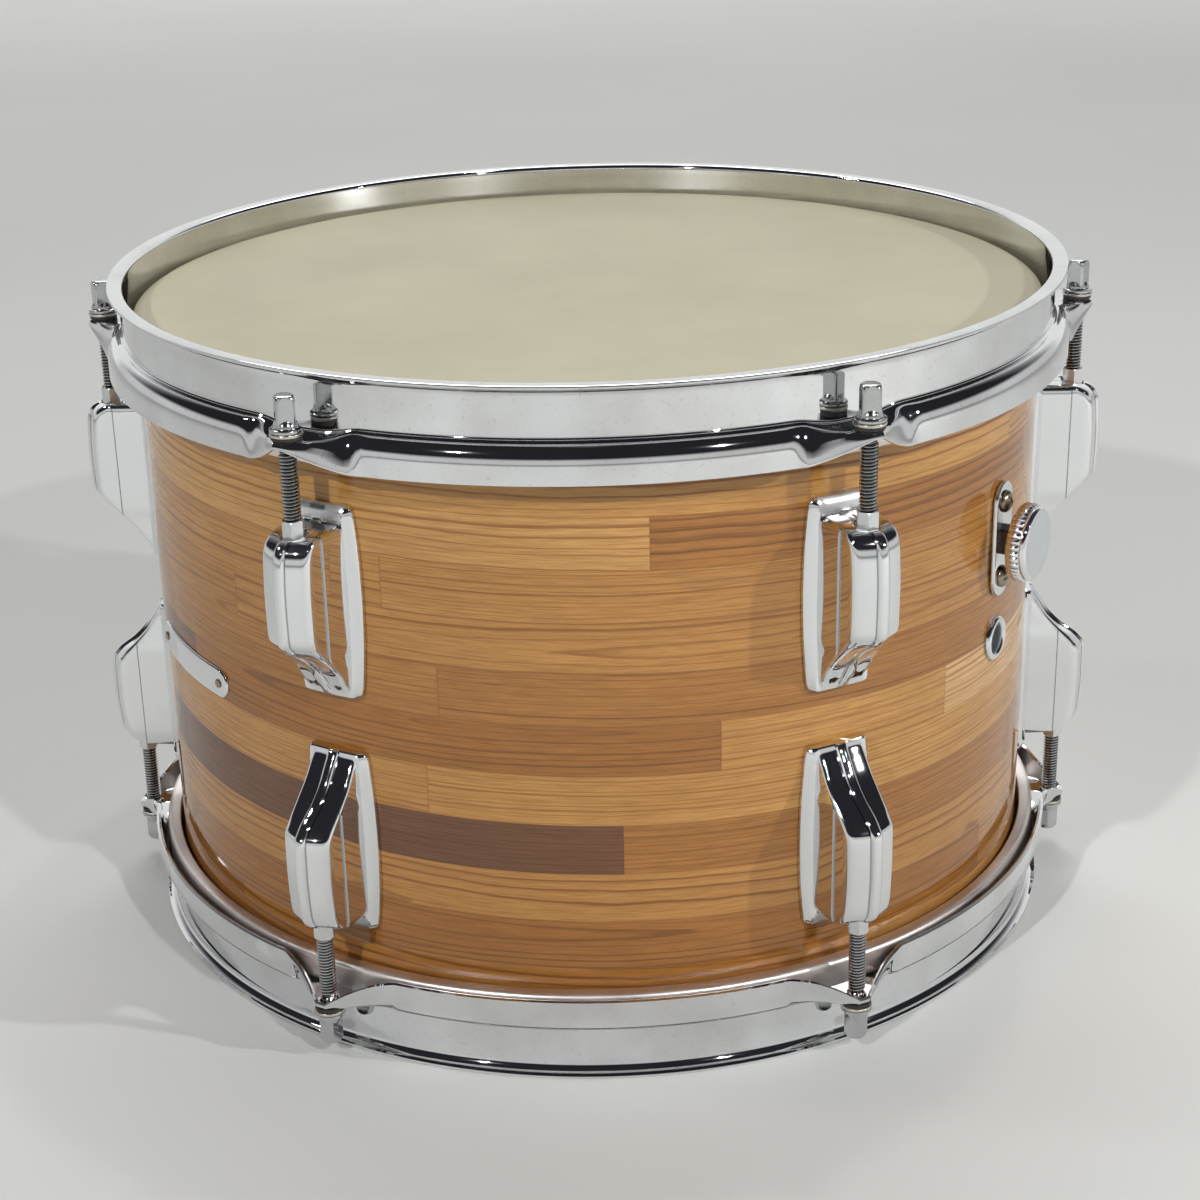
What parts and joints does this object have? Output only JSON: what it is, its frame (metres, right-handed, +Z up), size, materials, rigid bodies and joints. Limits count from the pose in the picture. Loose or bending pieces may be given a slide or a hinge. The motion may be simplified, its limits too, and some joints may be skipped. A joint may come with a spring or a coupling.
{
  "type": "drum",
  "caption": "Small wood-wrapped tom drum with chromed flanged hoops, cast lugs, tension rods, two heads and an internal muffler knob.",
  "frame": {"origin": "centre of the lower hoop's standing rim, on the floor", "axes": "+Z up along the drum's axis, +X through one pair of lugs, the muffler knob at -30 degrees from +X"},
  "size_m": [0.3538, 0.3248, 0.2248],
  "materials": {
    "chrome": "polished",
    "steel": "plated, slightly worn",
    "aluminium": "satin",
    "wrapped_wood": "gloss wrap printed with wood strips",
    "coated_film": "sprayed cream coating",
    "plain_film": "smooth",
    "spring_steel": "plain",
    "felt": "pressed felt"
  },
  "bodies": {
    "drum": {"shell": "wrapped_wood", "batter_film": "coated_film", "resonant_film": "plain_film", "batter_flesh_hoop": "aluminium", "resonant_flesh_hoop": "aluminium", "batter_hoop": "chrome", "resonant_hoop": "chrome", "batter_lug_1": "chrome", "batter_lug_2": "chrome", "batter_lug_3": "chrome", "batter_lug_4": "chrome", "batter_lug_5": "chrome", "batter_lug_6": "chrome", "batter_swivel_nut_1": "steel", "batter_swivel_nut_2": "steel", "batter_swivel_nut_3": "steel", "batter_swivel_nut_4": "steel", "batter_swivel_nut_5": "steel", "batter_swivel_nut_6": "steel", "resonant_lug_1": "chrome", "resonant_lug_2": "chrome", "resonant_lug_3": "chrome", "resonant_lug_4": "chrome", "resonant_lug_5": "chrome", "resonant_lug_6": "chrome", "resonant_swivel_nut_1": "steel", "resonant_swivel_nut_2": "steel", "resonant_swivel_nut_3": "steel", "resonant_swivel_nut_4": "steel", "resonant_swivel_nut_5": "steel", "resonant_swivel_nut_6": "steel", "muffler_plate": "chrome", "vent_grommet": "chrome"},
    "batter_washer_1": {"batter_washer_1": "steel"},
    "batter_tension_rod_1": {"batter_tension_rod_1": "steel"},
    "batter_washer_2": {"batter_washer_2": "steel"},
    "batter_tension_rod_2": {"batter_tension_rod_2": "steel"},
    "batter_washer_3": {"batter_washer_3": "steel"},
    "batter_tension_rod_3": {"batter_tension_rod_3": "steel"},
    "batter_washer_4": {"batter_washer_4": "steel"},
    "batter_tension_rod_4": {"batter_tension_rod_4": "steel"},
    "batter_washer_5": {"batter_washer_5": "steel"},
    "batter_tension_rod_5": {"batter_tension_rod_5": "steel"},
    "batter_washer_6": {"batter_washer_6": "steel"},
    "batter_tension_rod_6": {"batter_tension_rod_6": "steel"},
    "resonant_washer_1": {"resonant_washer_1": "steel"},
    "resonant_tension_rod_1": {"resonant_tension_rod_1": "steel"},
    "resonant_washer_2": {"resonant_washer_2": "steel"},
    "resonant_tension_rod_2": {"resonant_tension_rod_2": "steel"},
    "resonant_washer_3": {"resonant_washer_3": "steel"},
    "resonant_tension_rod_3": {"resonant_tension_rod_3": "steel"},
    "resonant_washer_4": {"resonant_washer_4": "steel"},
    "resonant_tension_rod_4": {"resonant_tension_rod_4": "steel"},
    "resonant_washer_5": {"resonant_washer_5": "steel"},
    "resonant_tension_rod_5": {"resonant_tension_rod_5": "steel"},
    "resonant_washer_6": {"resonant_washer_6": "steel"},
    "resonant_tension_rod_6": {"resonant_tension_rod_6": "steel"},
    "muffler": {"muffler_knob": "chrome", "muffler_arm": "spring_steel", "muffler_pad": "felt"}
  },
  "joints": [
    {"name": "batter_rod_travel_1", "type": "slide", "parent": "drum", "child": "batter_washer_1", "axis": [0, 0, 1], "range_m": [0, 0.01058]},
    {"name": "batter_rod_turn_1", "type": "hinge", "parent": "batter_washer_1", "child": "batter_tension_rod_1", "pos_m": [0.1668, 0, 0.2], "axis": [0, 0, 1], "range_deg": [0, 3601]},
    {"name": "batter_rod_travel_2", "type": "slide", "parent": "drum", "child": "batter_washer_2", "axis": [0, 0, 1], "range_m": [0, 0.01058]},
    {"name": "batter_rod_turn_2", "type": "hinge", "parent": "batter_washer_2", "child": "batter_tension_rod_2", "pos_m": [0.0834, 0.14445, 0.2], "axis": [0, 0, 1], "range_deg": [0, 3601]},
    {"name": "batter_rod_travel_3", "type": "slide", "parent": "drum", "child": "batter_washer_3", "axis": [0, 0, 1], "range_m": [0, 0.01058]},
    {"name": "batter_rod_turn_3", "type": "hinge", "parent": "batter_washer_3", "child": "batter_tension_rod_3", "pos_m": [-0.0834, 0.14445, 0.2], "axis": [0, 0, 1], "range_deg": [0, 3601]},
    {"name": "batter_rod_travel_4", "type": "slide", "parent": "drum", "child": "batter_washer_4", "axis": [0, 0, 1], "range_m": [0, 0.01058]},
    {"name": "batter_rod_turn_4", "type": "hinge", "parent": "batter_washer_4", "child": "batter_tension_rod_4", "pos_m": [-0.1668, 0, 0.2], "axis": [0, 0, 1], "range_deg": [0, 3601]},
    {"name": "batter_rod_travel_5", "type": "slide", "parent": "drum", "child": "batter_washer_5", "axis": [0, 0, 1], "range_m": [0, 0.01058]},
    {"name": "batter_rod_turn_5", "type": "hinge", "parent": "batter_washer_5", "child": "batter_tension_rod_5", "pos_m": [-0.0834, -0.14445, 0.2], "axis": [0, 0, 1], "range_deg": [0, 3601]},
    {"name": "batter_rod_travel_6", "type": "slide", "parent": "drum", "child": "batter_washer_6", "axis": [0, 0, 1], "range_m": [0, 0.01058]},
    {"name": "batter_rod_turn_6", "type": "hinge", "parent": "batter_washer_6", "child": "batter_tension_rod_6", "pos_m": [0.0834, -0.14445, 0.2], "axis": [0, 0, 1], "range_deg": [0, 3601]},
    {"name": "resonant_rod_travel_1", "type": "slide", "parent": "drum", "child": "resonant_washer_1", "axis": [0, 0, -1], "range_m": [0, 0.00423]},
    {"name": "resonant_rod_turn_1", "type": "hinge", "parent": "resonant_washer_1", "child": "resonant_tension_rod_1", "pos_m": [0.1668, 0, 0.0248], "axis": [0, 0, -1], "range_deg": [0, 1441]},
    {"name": "resonant_rod_travel_2", "type": "slide", "parent": "drum", "child": "resonant_washer_2", "axis": [0, 0, -1], "range_m": [0, 0.00423]},
    {"name": "resonant_rod_turn_2", "type": "hinge", "parent": "resonant_washer_2", "child": "resonant_tension_rod_2", "pos_m": [0.0834, -0.14445, 0.0248], "axis": [0, 0, -1], "range_deg": [0, 1441]},
    {"name": "resonant_rod_travel_3", "type": "slide", "parent": "drum", "child": "resonant_washer_3", "axis": [0, 0, -1], "range_m": [0, 0.00423]},
    {"name": "resonant_rod_turn_3", "type": "hinge", "parent": "resonant_washer_3", "child": "resonant_tension_rod_3", "pos_m": [-0.0834, -0.14445, 0.0248], "axis": [0, 0, -1], "range_deg": [0, 1441]},
    {"name": "resonant_rod_travel_4", "type": "slide", "parent": "drum", "child": "resonant_washer_4", "axis": [0, 0, -1], "range_m": [0, 0.00423]},
    {"name": "resonant_rod_turn_4", "type": "hinge", "parent": "resonant_washer_4", "child": "resonant_tension_rod_4", "pos_m": [-0.1668, 0, 0.0248], "axis": [0, 0, -1], "range_deg": [0, 1441]},
    {"name": "resonant_rod_travel_5", "type": "slide", "parent": "drum", "child": "resonant_washer_5", "axis": [0, 0, -1], "range_m": [0, 0.00423]},
    {"name": "resonant_rod_turn_5", "type": "hinge", "parent": "resonant_washer_5", "child": "resonant_tension_rod_5", "pos_m": [-0.0834, 0.14445, 0.0248], "axis": [0, 0, -1], "range_deg": [0, 1441]},
    {"name": "resonant_rod_travel_6", "type": "slide", "parent": "drum", "child": "resonant_washer_6", "axis": [0, 0, -1], "range_m": [0, 0.00423]},
    {"name": "resonant_rod_turn_6", "type": "hinge", "parent": "resonant_washer_6", "child": "resonant_tension_rod_6", "pos_m": [0.0834, 0.14445, 0.0248], "axis": [0, 0, -1], "range_deg": [0, 1441]},
    {"name": "muffler_turn", "type": "hinge", "parent": "drum", "child": "muffler", "pos_m": [0.13856, -0.08, 0.1475], "axis": [-0.866, 0.5, 0], "range_deg": [0, 40]}
  ],
  "couplings": [
    {"joint": "batter_rod_turn_1", "follows": "batter_rod_travel_1", "rad_per_m": 5936.9},
    {"joint": "batter_rod_turn_2", "follows": "batter_rod_travel_2", "rad_per_m": 5936.9},
    {"joint": "batter_rod_turn_3", "follows": "batter_rod_travel_3", "rad_per_m": 5936.9},
    {"joint": "batter_rod_turn_4", "follows": "batter_rod_travel_4", "rad_per_m": 5936.9},
    {"joint": "batter_rod_turn_5", "follows": "batter_rod_travel_5", "rad_per_m": 5936.9},
    {"joint": "batter_rod_turn_6", "follows": "batter_rod_travel_6", "rad_per_m": 5936.9},
    {"joint": "resonant_rod_turn_1", "follows": "resonant_rod_travel_1", "rad_per_m": 5936.9},
    {"joint": "resonant_rod_turn_2", "follows": "resonant_rod_travel_2", "rad_per_m": 5936.9},
    {"joint": "resonant_rod_turn_3", "follows": "resonant_rod_travel_3", "rad_per_m": 5936.9},
    {"joint": "resonant_rod_turn_4", "follows": "resonant_rod_travel_4", "rad_per_m": 5936.9},
    {"joint": "resonant_rod_turn_5", "follows": "resonant_rod_travel_5", "rad_per_m": 5936.9},
    {"joint": "resonant_rod_turn_6", "follows": "resonant_rod_travel_6", "rad_per_m": 5936.9}
  ]
}
